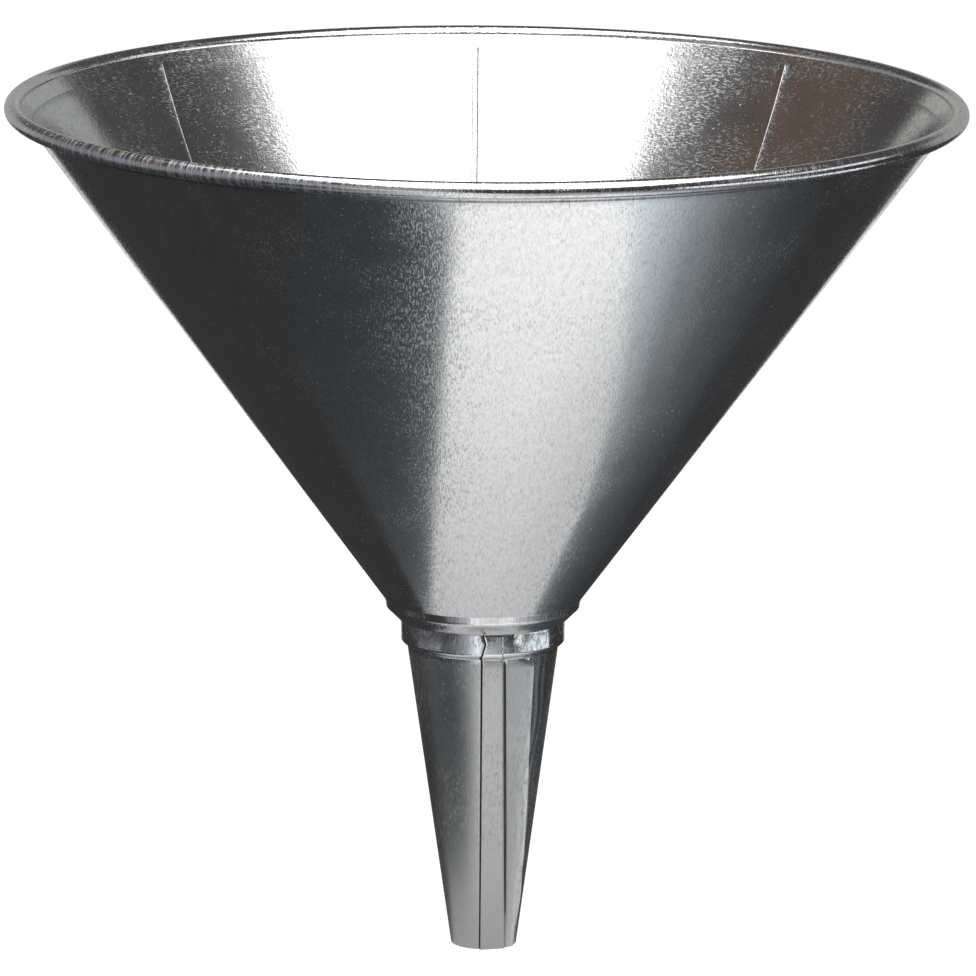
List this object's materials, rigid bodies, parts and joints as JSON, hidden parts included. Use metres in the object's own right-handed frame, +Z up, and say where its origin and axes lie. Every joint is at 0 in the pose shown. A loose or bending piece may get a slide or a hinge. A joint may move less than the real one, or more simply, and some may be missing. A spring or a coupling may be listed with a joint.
{
  "type": "funnel",
  "caption": "Sheet-metal filling funnel: conical bowl with a wired rolled rim, folded seams and a tapered spout with a swaged neck.",
  "frame": {"origin": "on the funnel's axis, at the height where the spout's taper measures 28 mm across and sits in a container's neck", "axes": "+Z up along the funnel's axis, from the spout's tip to the rim; -Y is the side of the spout's folded seam; +Y is the side of the bowl's folded seam"},
  "size_m": [0.25, 0.25, 0.225],
  "materials": {
    "tinned_sheet": "bright tinned sheet steel with a faint mottled grain",
    "rim_wire": "plain drawn steel wire",
    "solder": "dull grey soft solder"
  },
  "bodies": {
    "root": {"bowl": "tinned_sheet", "rim_wire": "rim_wire", "spout": "tinned_sheet", "throat_solder": "solder"}
  },
  "joints": []
}
